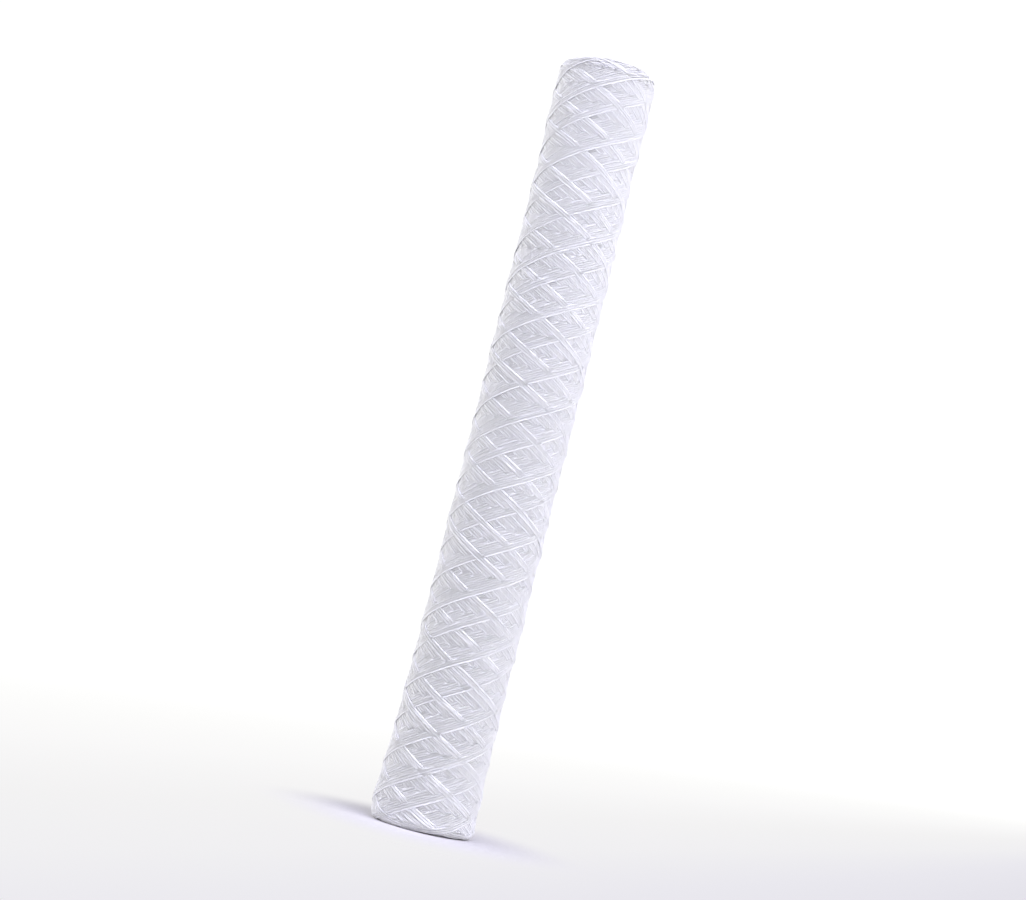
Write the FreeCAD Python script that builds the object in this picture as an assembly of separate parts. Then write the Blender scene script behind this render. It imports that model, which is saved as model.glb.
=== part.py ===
import FreeCAD, Part
import os, math

os.makedirs("parts", exist_ok=True)

V = FreeCAD.Vector
Z = V(0, 0, 1)

# ---------------------------------------------------------------------------
# String-wound sediment filter cartridge, 20 inch long, 2.5 inch nominal diameter.
# Origin: centre of the lower end. +Z runs up along the bore.
# Three pieces: a perforated moulded core in two sections that snap together
# at mid-length, and the yarn winding built up on them.
# ---------------------------------------------------------------------------

# overall
LENGTH = 508.0            # end to end, 20 inch
R_BODY = 31.4             # mean radius of the winding over its middle
R_LOW = 32.8              # the winding swells where the yarn turns round, lower end
R_HIGH = 32.1             # and less at the upper end
SHOULDER = 6.0            # rounding where the last turns fall over onto the end
Z_LOW_BULGE = 24.0        # widest level near the lower end
Z_LOW_END = 96.0          # where the lower swelling has died out
Z_HIGH_START = 442.0      # where the upper swelling begins
Z_HIGH_BULGE = 486.0      # widest level near the upper end
END_DISH = 0.6            # the wound ends sink a little towards the core

# core tube
R_BORE = 14.0             # 28 mm bore
R_CORE = 16.5             # 33 mm outside
BORE_EASE = 0.6           # small countersink at the two open ends
SECTION = LENGTH / 2.0    # each moulded section
COLLAR = 9.0              # plain band at each end of a section
WIN_COLS = 12             # windows round the tube
WIN_W = 5.0               # window width, round the tube
WIN_H = 5.2               # window height
WIN_PITCH = 8.2           # level to level

# snap joint between the sections
SPIGOT_LEN = 8.0
R_SPIGOT = 15.2
JOINT_EASE = 0.05         # radial clearance in the joint
BEAD_H = 1.6              # snap bead height along the axis
BEAD_OUT = 0.3            # how far the bead stands out
BEAD_UP = 4.2             # bead centre above the parting line

R_SEAT = R_CORE           # the winding sits directly on the core


def turned(points):
    """Solid of revolution about Z from closed (r, z) straight-line profile."""
    pts = [V(r, 0, z) for r, z in points]
    face = Part.Face(Part.makePolygon(pts + [pts[0]]))
    return face.revolve(V(0, 0, 0), Z, 360)


def windows(levels):
    """One cutter: radial windows on every level, alternate levels turned half a pitch."""
    cutters = []
    depth = R_CORE + 2.0
    for k, zc in enumerate(levels):
        for i in range(WIN_COLS):
            a = 360.0 / WIN_COLS * (i + 0.5 * (k % 2))
            b = Part.makeBox(depth - (R_BORE - 3.0), WIN_W, WIN_H,
                             V(R_BORE - 3.0, -WIN_W / 2.0, zc - WIN_H / 2.0))
            b.rotate(V(0, 0, 0), Z, a)
            cutters.append(b)
    return Part.makeCompound(cutters)


def levels_between(z0, z1):
    n = int((z1 - z0 - WIN_H) // WIN_PITCH) + 1
    span = (n - 1) * WIN_PITCH
    start = (z0 + z1 - span) / 2.0
    return [start + k * WIN_PITCH for k in range(n)]


# lower core section: plain collar, windows, plain collar, spigot with snap bead
core_lower = turned([
    (R_BORE + BORE_EASE, 0.0), (R_CORE, 0.0), (R_CORE, SECTION),
    (R_SPIGOT, SECTION), (R_SPIGOT, SECTION + BEAD_UP - BEAD_H / 2.0),
    (R_SPIGOT + BEAD_OUT, SECTION + BEAD_UP - BEAD_H / 6.0),
    (R_SPIGOT + BEAD_OUT, SECTION + BEAD_UP + BEAD_H / 6.0),
    (R_SPIGOT, SECTION + BEAD_UP + BEAD_H / 2.0),
    (R_SPIGOT, SECTION + SPIGOT_LEN - 0.6), (R_SPIGOT - 0.4, SECTION + SPIGOT_LEN),
    (R_BORE, SECTION + SPIGOT_LEN), (R_BORE, BORE_EASE)])
core_lower = core_lower.cut(windows(levels_between(COLLAR, SECTION - COLLAR)))

# upper core section: socket with groove, windows, plain collar
S = SECTION
G = R_SPIGOT + JOINT_EASE
core_upper = turned([
    (G, S), (R_CORE, S), (R_CORE, LENGTH), (R_BORE + BORE_EASE, LENGTH),
    (R_BORE, LENGTH - BORE_EASE), (R_BORE, S + SPIGOT_LEN + JOINT_EASE),
    (G, S + SPIGOT_LEN + JOINT_EASE),
    (G, S + BEAD_UP + BEAD_H / 2.0 + 0.1),
    (G + BEAD_OUT, S + BEAD_UP + BEAD_H / 6.0 + 0.1),
    (G + BEAD_OUT, S + BEAD_UP - BEAD_H / 6.0 - 0.1),
    (G, S + BEAD_UP - BEAD_H / 2.0 - 0.1)])
core_upper = core_upper.cut(windows(
    levels_between(S + SPIGOT_LEN + COLLAR, LENGTH - COLLAR)))

# the winding: a closed body with the mean outline of the wound yarn
r_end = R_LOW - SHOULDER
r_top = R_HIGH - SHOULDER
k = math.sqrt(0.5)
low_arc = Part.Arc(V(r_end, 0, 0),
                   V(r_end + SHOULDER * k, 0, SHOULDER * (1 - k)),
                   V(R_LOW, 0, SHOULDER)).toShape()
side = Part.BSplineCurve()
side.interpolate(Points=[V(R_LOW, 0, SHOULDER),
                         V(R_LOW + 0.15, 0, Z_LOW_BULGE * 0.5),
                         V(R_LOW - 0.1, 0, Z_LOW_BULGE),
                         V((R_LOW + R_BODY) / 2.0 - 0.1, 0, (Z_LOW_BULGE + Z_LOW_END) / 2.0),
                         V(R_BODY, 0, Z_LOW_END),
                         V(R_BODY, 0, 180.0),
                         V(R_BODY + 0.15, 0, 310.0),
                         V(R_BODY, 0, Z_HIGH_START - 30.0),
                         V((R_BODY + R_HIGH) / 2.0, 0, (Z_HIGH_START + Z_HIGH_BULGE) / 2.0),
                         V(R_HIGH, 0, Z_HIGH_BULGE),
                         V(R_HIGH, 0, LENGTH - SHOULDER)],
                 InitialTangent=V(0, 0, 1), FinalTangent=V(0, 0, 1))
side = side.toShape()
high_arc = Part.Arc(V(R_HIGH, 0, LENGTH - SHOULDER),
                    V(r_top + SHOULDER * k, 0, LENGTH - SHOULDER * (1 - k)),
                    V(r_top, 0, LENGTH)).toShape()


def seg(a, b):
    return Part.LineSegment(a, b).toShape()


profile = [low_arc, side, high_arc,
           seg(V(r_top, 0, LENGTH), V(R_SEAT + 2.0, 0, LENGTH)),
           seg(V(R_SEAT + 2.0, 0, LENGTH), V(R_SEAT, 0, LENGTH - END_DISH)),
           seg(V(R_SEAT, 0, LENGTH - END_DISH), V(R_SEAT, 0, END_DISH)),
           seg(V(R_SEAT, 0, END_DISH), V(R_SEAT + 2.0, 0, 0.0)),
           seg(V(R_SEAT + 2.0, 0, 0.0), V(r_end, 0, 0.0))]
yarn_winding = Part.Face(Part.Wire(profile)).revolve(V(0, 0, 0), Z, 360)

PARTS = {"yarn_winding": yarn_winding,
         "core_lower": core_lower,
         "core_upper": core_upper}

for name, shape in PARTS.items():
    solids = shape.Solids
    if len(solids) == 1:
        shape = solids[0]
    shape.exportStep(os.path.join("parts", name + ".step"))
    b = shape.BoundBox
    print("%-14s valid %s solids %d volume %.1f cm3 z %.2f..%.2f r %.2f" % (
        name, shape.isValid(), len(solids), shape.Volume / 1000.0, b.ZMin, b.ZMax, b.XMax))
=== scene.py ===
import math
import time

import bpy
import numpy as np
from mathutils import Matrix, Vector


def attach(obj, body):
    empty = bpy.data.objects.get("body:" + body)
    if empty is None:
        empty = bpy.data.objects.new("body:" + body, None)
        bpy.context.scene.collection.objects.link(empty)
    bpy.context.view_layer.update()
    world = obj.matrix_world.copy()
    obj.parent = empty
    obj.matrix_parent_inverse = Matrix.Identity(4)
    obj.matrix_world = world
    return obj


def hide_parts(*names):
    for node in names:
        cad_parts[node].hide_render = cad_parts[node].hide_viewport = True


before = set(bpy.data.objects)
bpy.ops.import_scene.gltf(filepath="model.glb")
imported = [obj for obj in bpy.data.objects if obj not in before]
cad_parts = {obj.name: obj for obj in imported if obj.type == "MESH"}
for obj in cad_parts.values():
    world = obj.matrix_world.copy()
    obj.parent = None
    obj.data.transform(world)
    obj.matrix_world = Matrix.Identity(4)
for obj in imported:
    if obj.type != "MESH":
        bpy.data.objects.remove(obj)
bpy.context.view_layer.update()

T0 = time.time()
MM = 0.001

# =============================================================================
# A string-wound cartridge: three ends of yarn are laid side by side on the core,
# to and fro, in a five-fold pattern that creeps forward with every traverse.
# The last layers are laid here strand by strand over the strands below them.
# All lengths in this part are millimetres.
# =============================================================================
LENGTH = 508.0
SH = 6.0                      # shoulder radius of the lower end
SH_T = 8.0                    # and of the upper end
R_CORE = 16.5                 # outside of the core
R0 = 31.5                     # radius at which the pattern is laid out
C = 2 * math.pi * R0
LEAD = 112.7                  # axial advance of a strand in one turn
S = LEAD / C                  # its slope
CREEP = 0.96                  # axial creep of the pattern per double traverse
TURNS = 9.6                   # turns per double traverse, before the creep
U_CYC = (TURNS + CREEP / LEAD) * C
ARC = SH * math.pi / 2
ARC_T = SH_T * math.pi / 2
SIG_TOP = ARC + (LENGTH - SH - SH_T) + ARC_T
C_FALL = 58.4                 # axial phase of the newest falling strand at the front
C_RISE = 38.6                 # and of the newest rising one
H_V = U_CYC * S / 2
ZVB = (C_FALL + C_RISE) / 2 - LEAD / 2
ZVT = ZVB + H_V
ZA_B = 0.9                    # where the yarn turns round, measured over the shoulder
ZA_T = LENGTH - 0.9
L_B = 26.0
D_B = 2 * (ZA_B - ZVB) / S - L_B
L_T = 40.0
D_T = 2 * (ZVT - ZA_T) / S - L_T
PLIES = 3
PITCH = 5 * CREEP / PLIES     # axial pitch of neighbouring strands
HALF_W = 0.84                 # half width of a strand that is pressed flat
HALF_T = 0.37                 # half its thickness
SINK = 0.17                   # share of the thickness lost where strands press together
SOFT = 3.4                    # reach of the pressing, and how much of the small relief it leaves
PRESS = 0.45
N_BASE = 20                   # double traverses laid first, which end up out of sight
N_TOP = 25                    # double traverses that are modelled
DU = 0.30
GRID = 0.32

# mean outline: how far the wound surface stands out from 31.25 mm, by height
OUT_Z = [0, 20, 40, 60, 80, 100, 130, 160, 200, 240, 300, 360, 400, 440, 460, 480, 500, 508]
OUT_D = [2.20, 2.08, 1.25, 0.82, 0.46, 0.36, 0.45, 0.34, 0.46, 0.50, 0.86, 0.86, 0.70, 0.50, 0.90, 1.33, 1.27, 1.20]
# and how far its middle lies to the right of the bore's axis there
OFF_Z = [0, 20, 40, 60, 80, 100, 140, 240, 360, 400, 440, 460, 480, 508]
OFF_D = [-1.0, -1.02, -0.92, -0.62, -0.37, -0.17, -0.02, 0.18, 0.10, -0.08, -0.22, -0.55, -0.78, -0.9]
R_MEAN = 31.25


def zig(t):
    """Height of the yarn, t being how far round it is from the lower turn."""
    t = np.abs(t)
    tt = H_V / S - t
    z = ZVB + S * t
    a = t - D_B / 2
    z = np.where(a < L_B, ZA_B + S / (2 * L_B) * np.maximum(a, 0) ** 2, z)
    b = tt - D_T / 2
    return np.where(b < L_T, ZA_T - S / (2 * L_T) * np.maximum(b, 0) ** 2, z)


def zig_slope(u):
    t = np.abs(u)
    tt = H_V / S - t
    m = np.full_like(t, S)
    a = t - D_B / 2
    m = np.where(a < L_B, S * np.maximum(a, 0) / L_B, m)
    b = tt - D_T / 2
    m = np.where(b < L_T, S * np.maximum(b, 0) / L_T, m)
    return m * np.sign(u)


def taut(x, y):
    """The upper concave envelope of y over x: a tight thread laid over bumps."""
    keep = [0]
    X = x.tolist()
    Y = y.tolist()
    for i in range(1, len(X)):
        while len(keep) > 1:
            a, b = keep[-2], keep[-1]
            if (Y[b] - Y[a]) * (X[i] - X[a]) <= (Y[i] - Y[a]) * (X[b] - X[a]):
                keep.pop()
            else:
                break
        keep.append(i)
    return np.interp(x, x[keep], y[keep])


def smooth(y, sig):
    r = int(4 * sig + 1)
    k = np.exp(-0.5 * (np.arange(-r, r + 1) / sig) ** 2)
    return np.convolve(np.pad(y, r, mode="edge"), k / k.sum(), mode="valid")


def wind():
    """Lays the yarn and returns the strands, and the height of what lies below the modelled ones."""
    rng = np.random.default_rng(7)
    nu = int(round(C / GRID))
    gu = C / nu
    nz = int(math.ceil(SIG_TOP / GRID)) + 1
    gz = SIG_TOP / (nz - 1)
    H = np.zeros((nz, nu))
    ID = np.full((nz, nu), -1, np.int32)
    half = H_V / S
    m = int(half / DU)
    n = N_BASE + N_TOP
    u_b0 = (C_FALL - ZVB) / S
    wander = {}
    for age in range(n, -1, -1):
        common = rng.uniform(-2.0, 2.0, 2)
        for ply in range(PLIES):
            wander[age, ply] = (rng.uniform(0, 2 * math.pi, 6), rng.uniform(35, 190, 6),
                                rng.normal(0, 0.055, 6), rng.normal(0, 0.05),
                                common + (1 - ply) * 1.35 + rng.normal(0, 0.12, 2))
    lat = np.linspace(-1, 1, 9) * 0.97
    prof = np.sqrt(np.maximum(1 - lat ** 2, 0))
    strands, last, below = [], {}, None
    Hf, If = H.reshape(-1), ID.reshape(-1)
    for age in range(n - 1, -1, -1):
        if age == N_TOP - 1:
            below = H.copy()
        u_b = u_b0 - age * U_CYC
        for part in (0, 1):
            for ply in range(PLIES):
                ph, wl, am, o, ap = wander[age, ply]
                top_ap = wander[age + 1, ply][4][1] if part == 0 else ap[1]
                ur = np.linspace(-half, 0, m) if part == 0 else np.linspace(0, half, m)
                sl = zig_slope(ur)
                tt = half - np.abs(ur)
                zs = zig(ur) + ap[0] * np.exp(-(ur / 18) ** 2) + top_ap * np.exp(-(tt / 28) ** 2)
                w = sum(a * np.sin(2 * math.pi * ur / l + p) for a, l, p in zip(am, wl, ph)) + o
                w = w * (1 - np.exp(-(tt / 60) ** 2))
                # the three stay side by side through the turns: what is outside at one is inside at the other
                leg = ply if part == 0 else PLIES - 1 - ply
                mid = (PLIES - 1) / 2
                k_ply = mid + (leg - mid) * np.sin(np.minimum(np.abs(ur) / 16, 1) * math.pi / 2) * np.sin(np.minimum(tt / 16, 1) * math.pi / 2)
                u = ur + u_b - k_ply * PITCH / S + w / S
                sg = zs - SH + ARC
                ca = 1 / np.sqrt(1 + sl ** 2)
                sa = sl * ca
                ds = np.sqrt(1 + sl ** 2) * abs(ur[1] - ur[0])
                s = np.cumsum(ds)
                samp = []
                for d in (-0.65, 0, 0.65):
                    iu = np.mod(np.floor((u - sa * d * HALF_W) / gu).astype(int), nu)
                    iz = np.clip(np.round((sg + ca * d * HALF_W) / gz).astype(int), 0, nz - 1)
                    samp.append(H[iz, iu])
                f = 0.55 * np.max(samp, 0) + 0.45 * np.mean(samp, 0)
                f = smooth(f, 1.2)
                if ply in last:
                    k = int(7 / DU)
                    f[:k] = np.minimum(f[:k], last[ply] + 0.25 * np.arange(k) / k)
                K = np.cumsum(np.cumsum(ca ** 2 / R0 * ds) * ds)
                h = taut(s, f - K) + K
                free = smooth(np.clip((h - f) / 0.35, 0, 1), 2.0)
                h = smooth(h - 0.5 * (h - smooth(f, 5.0)), 1.6)
                last[ply] = h[-1]
                a = HALF_W * (1.0 - 0.07 * free)
                b = HALF_T * (1.0 + 0.06 * free)
                hc = h + b * (1 - SINK)
                cut = slice(0, m - int(4 / DU))
                iu = np.mod(np.floor((u[:, None] - sa[:, None] * lat * a[:, None])[cut] / gu).astype(int), nu)
                iz = np.clip(np.round((sg[:, None] + ca[:, None] * lat * a[:, None])[cut] / gz).astype(int), 0, nz - 1)
                v = (hc[:, None] + b[:, None] * prof)[cut].ravel()
                idx = (iz * nu + iu).ravel()
                order = np.argsort(v, kind="stable")
                idx, v = idx[order], v[order]
                higher = v > Hf[idx]
                Hf[idx[higher]] = v[higher]
                If[idx[higher]] = len(strands)
                strands.append(dict(age=age, ply=ply, part=part, u=u, sg=sg, hc=hc, a=a, b=b, sa=sa, ca=ca, s=s))
        # what piles up at the turns slides and packs down
        rows = H.mean(1)
        k = int(60 / gz)
        level = rows[k:-k].mean()
        H -= (smooth(rows, 7.5) - level)[:, None]
    # the soft yarn presses together: small steps flatten, the broad ridges stay
    pad = int(30 / gz)
    P_ = np.pad(H, ((pad, pad), (0, 0)), mode="edge")
    fz = np.fft.fftfreq(P_.shape[0], gz)[:, None]
    fu = np.fft.rfftfreq(nu, gu)[None, :]
    soft = np.fft.irfft2(np.fft.rfft2(P_) * np.exp(-2 * (math.pi * SOFT) ** 2 * (fz ** 2 + fu ** 2)), s=P_.shape)[pad:-pad]
    for st in strands:
        iu = np.mod(np.floor(st["u"] / gu).astype(int), nu)
        iz = np.clip(np.round(st["sg"] / gz).astype(int), 0, nz - 1)
        m_ = smooth(soft[iz, iu], 1.5)
        top = st["hc"] + st["b"]
        st["b"] = st["b"] * (0.35 + 0.65 * PRESS)
        st["hc"] = m_ + PRESS * (top - m_) - st["b"]
    pressed = np.pad(soft + PRESS * (H - soft), ((pad, pad), (0, 0)), mode="edge")
    below = np.fft.irfft2(np.fft.rfft2(pressed) * np.exp(-2 * (math.pi * 0.9) ** 2 * (fz ** 2 + fu ** 2)), s=pressed.shape)[pad:-pad]
    # which samples can be seen
    for i, st in enumerate(strands):
        seen = np.zeros(len(st["u"]), bool)
        for d in (-0.75, -0.4, 0, 0.4, 0.75):
            iu = np.mod(np.floor((st["u"] - st["sa"] * d * st["a"]) / gu).astype(int), nu)
            iz = np.clip(np.round((st["sg"] + st["ca"] * d * st["a"]) / gz).astype(int), 0, nz - 1)
            seen |= ID[iz, iu] == i
        st["seen"] = seen
    return strands, below, H, level, gu, gz


def outline(sg, u, h):
    """Point of the winding at arc length sg over the profile, u round it and h above its mean surface."""
    sg = np.asarray(sg, float)
    z = sg - ARC + SH
    zc = np.clip(z, 0, LENGTH)
    th = u / R0
    r = R_MEAN + np.interp(zc, OUT_Z, OUT_D) + np.interp(zc, OFF_Z, OFF_D) * np.sin(th)
    lo = np.clip(sg / SH, 0.0, math.pi / 2)
    hi = np.clip((SIG_TOP - sg) / SH_T, 0.0, math.pi / 2)
    low = sg < ARC
    high = sg > SIG_TOP - ARC_T
    ang = np.where(low, lo, np.where(high, hi, math.pi / 2))
    sh = np.where(high, SH_T, SH)
    rr = r - sh + (sh + h) * np.sin(ang)
    zz = np.where(low, SH - (SH + h) * np.cos(ang), np.where(high, LENGTH - SH_T + (SH_T + h) * np.cos(ang), z))
    return rr, th, zz


def to_xyz(rr, th, zz):
    return np.stack([rr * np.sin(th), -rr * np.cos(th), zz], -1) * MM


def make_mesh(name, verts, faces_n, loops, uv=None, smooth_shade=True):
    """Mesh from numpy arrays: loops is the flat list of vertex indexes, faces_n the size of each face."""
    me = bpy.data.meshes.new(name)
    me.vertices.add(len(verts))
    me.vertices.foreach_set("co", verts.astype(np.float32).ravel())
    me.loops.add(len(loops))
    me.loops.foreach_set("vertex_index", loops.astype(np.int32))
    me.polygons.add(len(faces_n))
    starts = np.concatenate([[0], np.cumsum(faces_n)[:-1]])
    me.polygons.foreach_set("loop_start", starts.astype(np.int32))
    me.polygons.foreach_set("loop_total", faces_n.astype(np.int32))
    if uv is not None:
        layer = me.uv_layers.new(name="UVMap")
        layer.data.foreach_set("uv", uv.astype(np.float32).ravel())
    me.update(calc_edges=True)
    me.validate()
    me.polygons.foreach_set("use_smooth", np.full(len(me.polygons), smooth_shade))
    ob = bpy.data.objects.new(name, me)
    bpy.context.scene.collection.objects.link(ob)
    return ob


RING = np.radians([0, 42, 90, 138, 180, 270])      # the rounded side faces out
SIDES = len(RING)


def tube_rings(centre, side, up, a, b):
    """Rings of a flattened strand round the points centre; side and up are unit vectors across it."""
    cs, sn = np.cos(RING), np.sin(RING)
    return (centre[:, None, :] + side[:, None, :] * (a[:, None] * cs)[..., None]
            + up[:, None, :] * (b[:, None] * sn)[..., None])


class Builder:
    """Collects closed tubes into one mesh."""

    def __init__(self):
        self.v, self.l, self.n, self.uv, self.count = [], [], [], [], 0

    def tube(self, rings, along, tint):
        m = len(rings)
        base = self.count
        self.v.append(rings.reshape(-1, 3))
        i = np.arange(m - 1)[:, None] * SIDES
        j = np.arange(SIDES)[None, :]
        j2 = (j + 1) % SIDES
        quads = np.stack([i + j, i + j2, i + SIDES + j2, i + SIDES + j], -1).reshape(-1, 4) + base
        self.l.append(quads.ravel())
        self.n.append(np.full(len(quads), 4))
        ua = (np.arange(SIDES) / SIDES)[None, :] + tint
        ub = (np.arange(1, SIDES + 1) / SIDES)[None, :] + tint
        va = along[:-1, None] * np.ones((1, SIDES))
        vb = along[1:, None] * np.ones((1, SIDES))
        one = np.ones((m - 1, 1))
        uv = np.stack([np.stack([ua * one, va], -1), np.stack([ub * one, va], -1),
                       np.stack([ub * one, vb], -1), np.stack([ua * one, vb], -1)], 2)
        self.uv.append(uv.reshape(-1, 2))
        for k, flip in ((0, True), (m - 1, False)):
            cap = base + k * SIDES + np.arange(SIDES)
            if flip:
                cap = cap[::-1]
            self.l.append(cap)
            self.n.append(np.array([SIDES]))
            self.uv.append(np.full((SIDES, 2), 0.5) + [[tint, along[k]]])
        self.count += m * SIDES

    def triangles(self):
        return sum(int((n - 2).sum()) for n in self.n)

    def mesh(self, name):
        return make_mesh(name, np.concatenate(self.v), np.concatenate(self.n), np.concatenate(self.l), np.concatenate(self.uv))


def frames(centre, surf):
    """Side and up vectors of a strand from its centreline and a point set just above it."""
    t = np.gradient(centre, axis=0)
    t /= np.linalg.norm(t, axis=1, keepdims=True)
    up = surf - centre
    up -= (up * t).sum(1, keepdims=True) * t
    up /= np.linalg.norm(up, axis=1, keepdims=True)
    return np.cross(up, t), up


def pick(seen, s, fine, coarse):
    """Indexes of the rings: close together where the strand is in sight."""
    pad = int(2.5 / (s[1] - s[0]))
    k = np.ones(2 * pad + 1)
    near = np.convolve(seen.astype(float), k, mode="same") > 0.5
    step = np.where(near, fine, coarse)
    pos = np.cumsum(np.diff(s, prepend=s[0]) / step)
    whole = np.floor(pos + 1e-6).astype(int)
    idx = np.flatnonzero(np.diff(whole, prepend=whole[0] - 1) > 0)
    if idx[-1] != len(s) - 1:
        idx = np.append(idx, len(s) - 1)
    return idx


strands, below, H, LEVEL, gu, gz = wind()
print("wound", len(strands), "in %.1f s" % (time.time() - T0))

FINE, COARSE = 2.2, 6.5
N_PIECES = 6
builders = [Builder() for _ in range(N_PIECES)]
by_key = {}
for st in strands:
    by_key[st["age"], st["ply"], st["part"]] = st
rng = np.random.default_rng(21)
for ply in range(PLIES):
    run = []
    for age in range(N_TOP - 1, -1, -1):
        d, r = by_key[age, ply, 0], by_key[age, ply, 1]
        cat = {k: np.concatenate([d[k], r[k][1:]]) for k in ("u", "sg", "hc", "a", "b", "seen")}
        run.append((age, cat))
    # one continuous line, its joins eased
    allk = {k: np.concatenate([c[k] if i == 0 else c[k][1:] for i, (_, c) in enumerate(run)]) for k in ("u", "sg", "hc", "a", "b", "seen")}
    for k in ("hc", "a", "b"):
        allk[k] = smooth(allk[k], 2.2)
    L = len(run[0][1]["u"])
    cuts = [0]
    for i in range(len(run)):
        cuts.append(cuts[-1] + (L - 1 if i else L - 1))
    cuts[-1] = len(allk["u"]) - 1
    per = len(run) / N_PIECES
    h = allk["hc"] - LEVEL
    rr, th, zz = outline(allk["sg"], allk["u"], h)
    centre = to_xyz(rr, th, zz)
    r2, t2, z2 = outline(allk["sg"], allk["u"], h + 0.5)
    surf = to_xyz(r2, t2, z2)
    step = np.linalg.norm(np.diff(centre, axis=0, prepend=centre[:1]), axis=1) / MM
    s = np.cumsum(step)
    side, up = frames(centre, surf)
    for p in range(N_PIECES):
        i0, i1 = cuts[int(round(p * per))], cuts[int(round((p + 1) * per))]
        sl = slice(i0, i1 + 1)
        idx = pick(allk["seen"][sl], s[sl], FINE, COARSE) + i0
        rings = tube_rings(centre[idx], side[idx], up[idx], allk["a"][idx] * MM, allk["b"][idx] * MM)
        rings[..., 2] = np.clip(rings[..., 2], 0.05 * MM, (LENGTH - 0.05) * MM)
        builders[p].tube(rings, s[idx] * 0.01, ply * 0.37 + 0.0)
YARN = []
for p, b in enumerate(builders):
    print("yarn piece", p + 1, b.triangles(), "triangles")
    YARN.append(b.mesh("yarn_turns_%d" % (p + 1)))

# ---- the wound ends: arcs of yarn that come out of the body, lie along the end and dive in again
def end_arcs(name, top, seed):
    g = np.random.default_rng(seed)
    bld = Builder()
    zend = LENGTH if top else 0.0
    sh = SH_T if top else SH
    r_flat = R_MEAN + (0.5 if top else 1.3) - sh
    radii = np.arange(R_CORE + 0.55, r_flat + 4.3, 0.93)
    for k, rk in enumerate(radii):
        n = max(6, int(round(2 * math.pi * rk / 10.5)))
        off = g.uniform(0, 2 * math.pi)
        for i in range(n):
            mid = off + 2 * math.pi * (i + g.uniform(-0.22, 0.22)) / n
            halfa = g.uniform(11.0, 15.0) / rk
            t = np.linspace(-1, 1, 13)
            r = rk + 0.42 * t + g.normal(0, 0.10) + 0.12 * np.sin(3 * t + g.uniform(0, 6))
            inward = 0.55 + g.uniform(0.0, 0.45) + 2.4 * t ** 2
            over = np.maximum(r - r_flat, 0)
            drop = sh - np.sqrt(np.maximum(sh ** 2 - over ** 2, 0))
            ang = np.arcsin(np.clip(over / sh, 0, 0.95))
            depth = drop + inward * np.cos(ang)
            r = r - inward * np.sin(ang)
            th = mid + halfa * t
            r = r + np.interp(0.0 if not top else LENGTH, OFF_Z, OFF_D) * np.sin(th) * np.clip((r - R_CORE) / 12, 0, 1)
            z = zend - depth if top else zend + depth
            c = to_xyz(r, th, z)
            sgn = 1.0 if top else -1.0
            surf = to_xyz(r + np.sin(ang), th, z + sgn * np.cos(ang))
            side, up = frames(c, surf)
            a = np.full(13, g.uniform(0.50, 0.60)) * MM
            b = np.full(13, g.uniform(0.50, 0.62)) * MM
            rings = tube_rings(c, side, up, a, b)
            rings[..., 2] = np.clip(rings[..., 2], 0.03 * MM, (LENGTH - 0.03) * MM)
            bld.tube(rings, np.linspace(0, 0.26, 13) + g.uniform(0, 50), g.uniform(0, 1))
    print(name, bld.triangles(), "triangles")
    return bld.mesh(name)


ENDS = [end_arcs("yarn_end_low", False, 3), end_arcs("yarn_end_high", True, 4)]


# ---- what lies below: the body of the winding, down to the core
def body():
    nu = 132
    us = np.arange(nu) * C / nu
    sg = np.linspace(0.4, SIG_TOP - 0.4, 330)
    iu = np.mod(np.floor(us / gu).astype(int), below.shape[1])
    iz = np.clip(np.round(sg / gz).astype(int), 0, below.shape[0] - 1)
    h = below[np.ix_(iz, iu)] - LEVEL
    h = h - 0.85
    rows = []
    for i, s_ in enumerate(sg):
        rr, th, zz = outline(np.full(nu, s_), us, h[i])
        rows.append(to_xyz(rr, th, zz))
    th = us / R0
    n_in = 90
    # the end faces and the inner wall, which sits on the core
    def ring(r, z):
        return to_xyz(np.full(nu, r), th, np.full(nu, z))
    rows.append(ring(25.0, LENGTH - 2.2))
    rows.append(ring(20.0, LENGTH - 2.0))
    rows.append(ring(R_CORE + 0.03, LENGTH - 1.6))
    for z in np.linspace(LENGTH - 4.0, 4.0, n_in):
        rows.append(to_xyz(R_CORE + 0.03 + 0.28 * (1 + np.sin(9 * th + z * 1.9)) , th, np.full(nu, z)))
    rows.append(ring(R_CORE + 0.03, 1.6))
    rows.append(ring(20.0, 2.0))
    rows.append(ring(25.0, 2.2))
    v = np.concatenate(rows)
    m = len(rows)
    i = np.arange(m)[:, None] * nu
    i2 = (np.arange(m)[:, None] + 1) % m * nu
    j = np.arange(nu)[None, :]
    j2 = (j + 1) % nu
    quads = np.stack([i + j, i + j2, i2 + j2, i2 + j], -1).reshape(-1, 4)
    print("winding_body", 2 * len(quads), "triangles")
    return make_mesh("winding_body", v, np.full(len(quads), 4), quads.ravel())


BODY = body()

# =============================================================================
# materials
# =============================================================================
def new_material(name):
    m = bpy.data.materials.new(name)
    m.use_nodes = True
    nt = m.node_tree
    nt.nodes.clear()
    out = nt.nodes.new("ShaderNodeOutputMaterial")
    sh = nt.nodes.new("ShaderNodeBsdfPrincipled")
    nt.links.new(sh.outputs[0], out.inputs[0])
    return m, nt, sh


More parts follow.
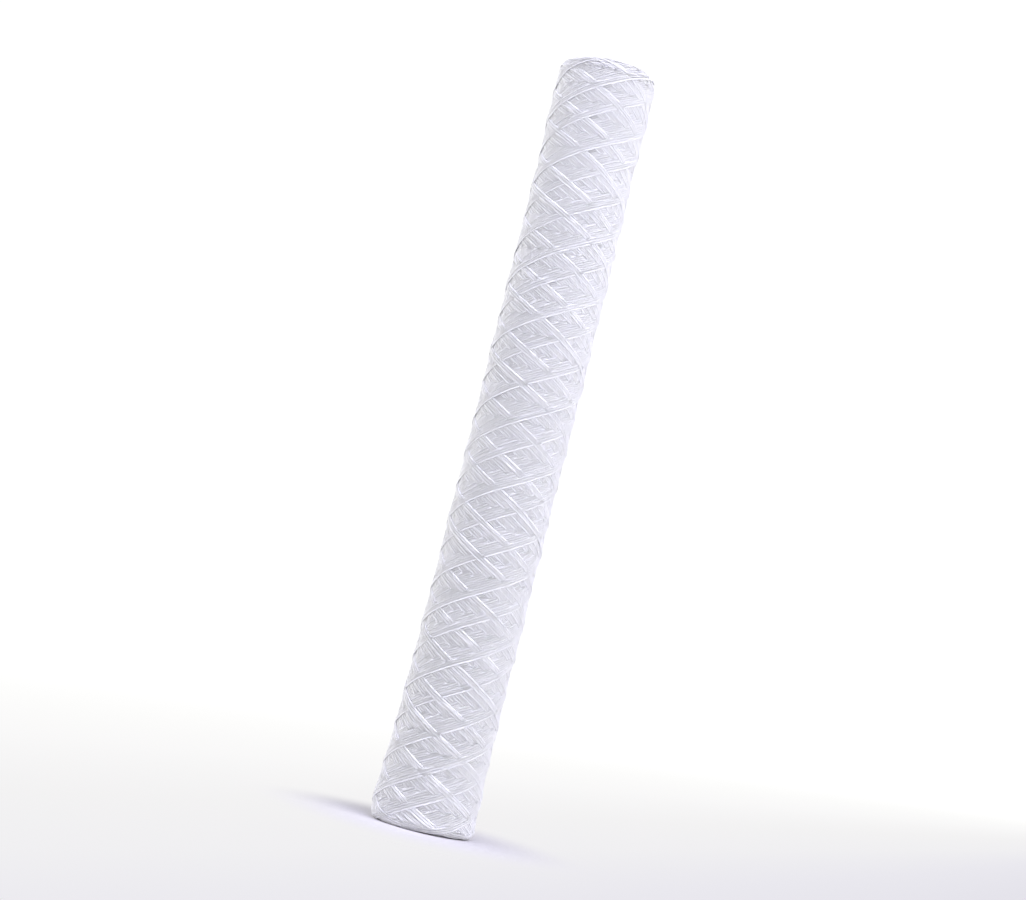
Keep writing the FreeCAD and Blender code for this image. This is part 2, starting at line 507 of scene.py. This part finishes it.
def yarn_material(name, uv=True):
    m, nt, sh = new_material(name)
    N, Lk = nt.nodes, nt.links
    sh.inputs["Roughness"].default_value = 0.85
    sh.inputs["Sheen Weight"].default_value = 0.35
    sh.inputs["Sheen Roughness"].default_value = 0.45
    sh.inputs["Specular IOR Level"].default_value = 0.2
    sh.inputs["Subsurface Weight"].default_value = 1.0
    sh.inputs["Subsurface Radius"].default_value = (1.0, 1.0, 1.1)
    sh.inputs["Subsurface Scale"].default_value = 0.0030
    tc = N.new("ShaderNodeTexCoord")
    # slow variation of tone from place to place and from strand to strand
    n1 = N.new("ShaderNodeTexNoise")
    n1.inputs["Scale"].default_value = 55.0
    n1.inputs["Detail"].default_value = 3.0
    Lk.new(tc.outputs["Object"], n1.inputs["Vector"])
    ramp = N.new("ShaderNodeValToRGB")
    ramp.color_ramp.elements[0].position = 0.30
    ramp.color_ramp.elements[0].color = (0.935, 0.930, 0.965, 1)
    ramp.color_ramp.elements[1].position = 0.70
    ramp.color_ramp.elements[1].color = (0.960, 0.957, 0.982, 1)
    Lk.new(n1.outputs["Fac"], ramp.inputs["Fac"])
    if uv:
        # fibres run along the yarn with a slight twist
        mp = N.new("ShaderNodeMapping")
        mp.inputs["Rotation"].default_value = (0, 0, math.radians(0))
        mp.inputs["Scale"].default_value = (9.0, 34.0, 1.0)
        skew = N.new("ShaderNodeSeparateXYZ")
        Lk.new(tc.outputs["UV"], skew.inputs[0])
        mul = N.new("ShaderNodeMath"); mul.operation = "MULTIPLY_ADD"
        Lk.new(skew.outputs["Y"], mul.inputs[0])
        mul.inputs[1].default_value = 14.0
        Lk.new(skew.outputs["X"], mul.inputs[2])
        comb = N.new("ShaderNodeCombineXYZ")
        Lk.new(mul.outputs[0], comb.inputs["X"])
        Lk.new(skew.outputs["Y"], comb.inputs["Y"])
        Lk.new(comb.outputs[0], mp.inputs["Vector"])
        fib = N.new("ShaderNodeTexNoise")
        fib.inputs["Scale"].default_value = 1.0
        fib.inputs["Detail"].default_value = 4.0
        fib.inputs["Roughness"].default_value = 0.6
        Lk.new(mp.outputs[0], fib.inputs["Vector"])
        bump = N.new("ShaderNodeBump")
        bump.inputs["Strength"].default_value = 0.55
        bump.inputs["Distance"].default_value = 0.00022
        Lk.new(fib.outputs["Fac"], bump.inputs["Height"])
        fz = N.new("ShaderNodeTexNoise")
        fz.inputs["Scale"].default_value = 2600.0
        fz.inputs["Detail"].default_value = 2.0
        Lk.new(tc.outputs["Object"], fz.inputs["Vector"])
        bump2 = N.new("ShaderNodeBump")
        bump2.inputs["Strength"].default_value = 0.3
        bump2.inputs["Distance"].default_value = 0.0001
        Lk.new(fz.outputs["Fac"], bump2.inputs["Height"])
        Lk.new(bump.outputs[0], bump2.inputs["Normal"])
        Lk.new(fuzzy(N, Lk, tc, bump2.outputs[0], 0.5), sh.inputs["Normal"])
        mixc = N.new("ShaderNodeMix"); mixc.data_type = "RGBA"; mixc.blend_type = "MULTIPLY"
        mixc.inputs["Factor"].default_value = 1.0
        r2 = N.new("ShaderNodeValToRGB")
        r2.color_ramp.elements[0].position = 0.25
        r2.color_ramp.elements[0].color = (0.96, 0.96, 0.965, 1)
        r2.color_ramp.elements[1].position = 0.65
        r2.color_ramp.elements[1].color = (1, 1, 1, 1)
        Lk.new(fib.outputs["Fac"], r2.inputs["Fac"])
        Lk.new(ramp.outputs["Color"], mixc.inputs["A"])
        Lk.new(r2.outputs["Color"], mixc.inputs["B"])
        Lk.new(mixc.outputs["Result"], sh.inputs["Base Color"])
    else:
        fz = N.new("ShaderNodeTexNoise")
        fz.inputs["Scale"].default_value = 900.0
        Lk.new(tc.outputs["Object"], fz.inputs["Vector"])
        bump = N.new("ShaderNodeBump")
        bump.inputs["Strength"].default_value = 0.6
        bump.inputs["Distance"].default_value = 0.0003
        Lk.new(fz.outputs["Fac"], bump.inputs["Height"])
        Lk.new(bump.outputs[0], sh.inputs["Normal"])
        Lk.new(ramp.outputs["Color"], sh.inputs["Base Color"])
    return m


def fuzzy(N, Lk, tc, normal, weight):
    """Loose fibre scatters the light: the shading leans towards the smooth surface of the winding."""
    flat = N.new("ShaderNodeVectorMath"); flat.operation = "MULTIPLY"
    flat.inputs[1].default_value = (1, 1, 0)
    Lk.new(tc.outputs["Object"], flat.inputs[0])
    out = N.new("ShaderNodeVectorMath"); out.operation = "NORMALIZE"
    Lk.new(flat.outputs[0], out.inputs[0])
    sep = N.new("ShaderNodeSeparateXYZ")
    Lk.new(tc.outputs["Object"], sep.inputs[0])
    mid = N.new("ShaderNodeMath"); mid.operation = "SUBTRACT"
    Lk.new(sep.outputs["Z"], mid.inputs[0])
    mid.inputs[1].default_value = LENGTH / 2000
    far = N.new("ShaderNodeMath"); far.operation = "ABSOLUTE"
    Lk.new(mid.outputs[0], far.inputs[0])
    fade = N.new("ShaderNodeMapRange")
    fade.inputs["From Min"].default_value = LENGTH / 2000 - 0.009
    fade.inputs["From Max"].default_value = LENGTH / 2000 - 0.001
    fade.inputs["To Min"].default_value = weight
    fade.inputs["To Max"].default_value = 0.0
    Lk.new(far.outputs[0], fade.inputs["Value"])
    mix = N.new("ShaderNodeMix"); mix.data_type = "VECTOR"
    Lk.new(fade.outputs["Result"], mix.inputs["Factor"])
    Lk.new(normal, mix.inputs["A"])
    Lk.new(out.outputs[0], mix.inputs["B"])
    done = N.new("ShaderNodeVectorMath"); done.operation = "NORMALIZE"
    Lk.new(mix.outputs["Result"], done.inputs[0])
    return done.outputs[0]


def core_material():
    m, nt, sh = new_material("core_polypropylene")
    N, Lk = nt.nodes, nt.links
    sh.inputs["Roughness"].default_value = 0.42
    sh.inputs["Specular IOR Level"].default_value = 0.45
    sh.inputs["Subsurface Weight"].default_value = 0.3
    sh.inputs["Subsurface Radius"].default_value = (1.0, 1.0, 1.0)
    sh.inputs["Subsurface Scale"].default_value = 0.0015
    tc = N.new("ShaderNodeTexCoord")
    n1 = N.new("ShaderNodeTexNoise")
    n1.inputs["Scale"].default_value = 120.0
    n1.inputs["Detail"].default_value = 3.0
    Lk.new(tc.outputs["Object"], n1.inputs["Vector"])
    ramp = N.new("ShaderNodeValToRGB")
    ramp.color_ramp.elements[0].position = 0.3
    ramp.color_ramp.elements[0].color = (0.74, 0.745, 0.75, 1)
    ramp.color_ramp.elements[1].position = 0.7
    ramp.color_ramp.elements[1].color = (0.80, 0.80, 0.80, 1)
    Lk.new(n1.outputs["Fac"], ramp.inputs["Fac"])
    Lk.new(ramp.outputs["Color"], sh.inputs["Base Color"])
    n2 = N.new("ShaderNodeTexNoise")
    n2.inputs["Scale"].default_value = 700.0
    Lk.new(tc.outputs["Object"], n2.inputs["Vector"])
    bump = N.new("ShaderNodeBump")
    bump.inputs["Strength"].default_value = 0.12
    bump.inputs["Distance"].default_value = 0.0002
    Lk.new(n2.outputs["Fac"], bump.inputs["Height"])
    Lk.new(bump.outputs[0], sh.inputs["Normal"])
    return m


YARN_MAT = yarn_material("yarn_polypropylene")
BODY_MAT = yarn_material("yarn_below", uv=False)
CORE_MAT = core_material()
for ob in YARN + ENDS:
    ob.data.materials.append(YARN_MAT)
BODY.data.materials.append(BODY_MAT)
for ob in YARN + ENDS + [BODY]:
    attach(ob, "root")
    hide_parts("yarn_winding")
for n in ("core_lower", "core_upper"):
    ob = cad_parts[n]
    ob.data.materials.clear()
    ob.data.materials.append(CORE_MAT)

# =============================================================================
# floor, light and camera
# =============================================================================
bpy.ops.mesh.primitive_plane_add(size=60.0, location=(0, 0, 0))
floor = bpy.context.object
floor.name = "floor"
fm = bpy.data.materials.new("floor_pale_painted_shade")
fm.use_nodes = True
nt = fm.node_tree
nt.nodes.clear()
out = nt.nodes.new("ShaderNodeOutputMaterial")
dif = nt.nodes.new("ShaderNodeBsdfDiffuse")
dif.inputs["Color"].default_value = (0.54, 0.53, 0.525, 1)
# painted light: away from the base the floor glows rather than taking the lamps' light, and the shade in that glow is
# painted
em = nt.nodes.new("ShaderNodeEmission")
em.inputs["Strength"].default_value = 1.0
mix = nt.nodes.new("ShaderNodeMixShader")
tc = nt.nodes.new("ShaderNodeTexCoord")
# painted shade: the glow of the floor is darker towards the front right and paler towards the back left
across = nt.nodes.new("ShaderNodeVectorMath"); across.operation = "DOT_PRODUCT"
across.inputs[1].default_value = (-0.914, 0.405, 0.0)
nt.links.new(tc.outputs["Object"], across.inputs[0])
fade = nt.nodes.new("ShaderNodeMapRange")
fade.inputs["From Min"].default_value = -0.25
fade.inputs["From Max"].default_value = 0.75
nt.links.new(across.outputs["Value"], fade.inputs["Value"])
fr = nt.nodes.new("ShaderNodeValToRGB")
floor_painted_shade_stops = [(0.0, (0.78, 0.77, 0.83)), (0.10, (0.82, 0.81, 0.86)), (0.20, (0.875, 0.868, 0.885)), (0.30, (0.895, 0.888, 0.893)),
         (0.47, (0.950, 0.945, 0.945)), (0.65, (0.985, 0.983, 0.975)), (1.0, (1.05, 1.05, 1.05))]
fr.color_ramp.elements[0].position, fr.color_ramp.elements[0].color = floor_painted_shade_stops[0][0], floor_painted_shade_stops[0][1] + (1,)
fr.color_ramp.elements[1].position, fr.color_ramp.elements[1].color = floor_painted_shade_stops[-1][0], floor_painted_shade_stops[-1][1] + (1,)
for at, colour in floor_painted_shade_stops[1:-1]:
    fr.color_ramp.elements.new(at).color = colour + (1,)
nt.links.new(fade.outputs["Result"], fr.inputs["Fac"])
nt.links.new(fr.outputs["Color"], em.inputs["Color"])
# within 3 cm of the base the floor is lit and shaded by the lamps; from 3 to 12 cm out it blends into the painted glow
ln = nt.nodes.new("ShaderNodeVectorMath"); ln.operation = "LENGTH"
mr = nt.nodes.new("ShaderNodeMapRange")
mr.interpolation_type = "SMOOTHERSTEP"
mr.inputs["From Min"].default_value = 0.030
mr.inputs["From Max"].default_value = 0.120
nt.links.new(tc.outputs["Object"], ln.inputs[0])
nt.links.new(ln.outputs["Value"], mr.inputs["Value"])
nt.links.new(mr.outputs["Result"], mix.inputs["Fac"])
nt.links.new(dif.outputs[0], mix.inputs[1])
nt.links.new(em.outputs[0], mix.inputs[2])
nt.links.new(mix.outputs[0], out.inputs[0])
floor.data.materials.append(fm)

# soft light of a white studio: direction it comes from, how narrow it is, and its colour times strength
LOBES = [
    ((-1.0, 0.0, 0.15), 2, (1.58, 1.58, 1.60)),
    ((0.0, -1.0, 0.1), 2, (1.02, 1.00, 1.30)),
]
AREAS = [
    ((1.25, -1.05, 1.15), (0, 0, 0.27), (1.5, 1.7), (38.0, 38.0, 38.5)),
    ((0.35, -1.35, 1.25), (0, 0, 0.27), (1.0, 1.2), (6.4, 6.4, 13.0)),
]

world = bpy.context.scene.world or bpy.data.worlds.new("World")
bpy.context.scene.world = world
world.use_nodes = True
wt = world.node_tree
wt.nodes.clear()
wo = wt.nodes.new("ShaderNodeOutputWorld")
wc = wt.nodes.new("ShaderNodeTexCoord")
total = None
for direction, power, colour in LOBES:
    if power:
        dn = Vector(direction).normalized()
        dot = wt.nodes.new("ShaderNodeVectorMath"); dot.operation = "DOT_PRODUCT"
        wt.links.new(wc.outputs["Generated"], dot.inputs[0])
        dot.inputs[1].default_value = dn
        half = wt.nodes.new("ShaderNodeMath"); half.operation = "MULTIPLY_ADD"; half.use_clamp = True
        half.inputs[1].default_value = 0.5
        half.inputs[2].default_value = 0.5
        wt.links.new(dot.outputs["Value"], half.inputs[0])
        pw = wt.nodes.new("ShaderNodeMath"); pw.operation = "POWER"
        wt.links.new(half.outputs[0], pw.inputs[0])
        pw.inputs[1].default_value = power
        sc = wt.nodes.new("ShaderNodeVectorMath"); sc.operation = "SCALE"
        sc.inputs[0].default_value = colour
        wt.links.new(pw.outputs[0], sc.inputs["Scale"])
        here = sc.outputs[0]
    else:
        base = wt.nodes.new("ShaderNodeCombineXYZ")
        for k in range(3):
            base.inputs[k].default_value = colour[k]
        here = base.outputs[0]
    if total is None:
        total = here
    else:
        add = wt.nodes.new("ShaderNodeVectorMath"); add.operation = "ADD"
        wt.links.new(total, add.inputs[0])
        wt.links.new(here, add.inputs[1])
        total = add.outputs[0]
bg1 = wt.nodes.new("ShaderNodeBackground")
wt.links.new(total, bg1.inputs["Color"])
bg2 = wt.nodes.new("ShaderNodeBackground")
bg2.inputs["Color"].default_value = (1, 1, 1, 1)
bg2.inputs["Strength"].default_value = 1.05
lp = wt.nodes.new("ShaderNodeLightPath")
wm = wt.nodes.new("ShaderNodeMixShader")
wt.links.new(lp.outputs["Is Camera Ray"], wm.inputs["Fac"])
wt.links.new(bg1.outputs[0], wm.inputs[1])
wt.links.new(bg2.outputs[0], wm.inputs[2])
wt.links.new(wm.outputs[0], wo.inputs[0])


def area(name, loc, target, size, colour):
    power = max(colour)
    if power <= 0:
        return
    d = bpy.data.lights.new(name, "AREA")
    d.shape = "RECTANGLE"
    d.size, d.size_y = size
    d.energy = power
    d.color = [c / power for c in colour]
    ob = bpy.data.objects.new(name, d)
    bpy.context.scene.collection.objects.link(ob)
    ob.location = loc
    ob.rotation_mode = "QUATERNION"
    ob.rotation_quaternion = (Vector(target) - Vector(loc)).to_track_quat("-Z", "Y")


for k, (loc, target, size, colour) in enumerate(AREAS):
    area("softbox_%d" % (k + 1), loc, target, size, colour)

cam = bpy.data.cameras.new("camera")
cam.sensor_width = 36.0
cam.lens = 1763.954 / 1026 * 36.0
cam.clip_start, cam.clip_end = 0.02, 100.0
co = bpy.data.objects.new("camera", cam)
bpy.context.scene.collection.objects.link(co)
X = Vector((0.970238, -0.027637, 0.240573))
Y = Vector((-0.242149, -0.117776, 0.963064))
F = Vector((-0.001717, 0.992656, 0.120963))
mat = Matrix(((X[0], Y[0], -F[0], 0.0), (X[1], Y[1], -F[1], -1.13363), (X[2], Y[2], -F[2], 0.10908), (0, 0, 0, 1)))
co.matrix_world = mat
bpy.context.scene.camera = co
bpy.context.scene.view_settings.view_transform = "Standard"
bpy.context.scene.view_settings.look = "None"

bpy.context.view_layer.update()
print("built in %.1f s" % (time.time() - T0))
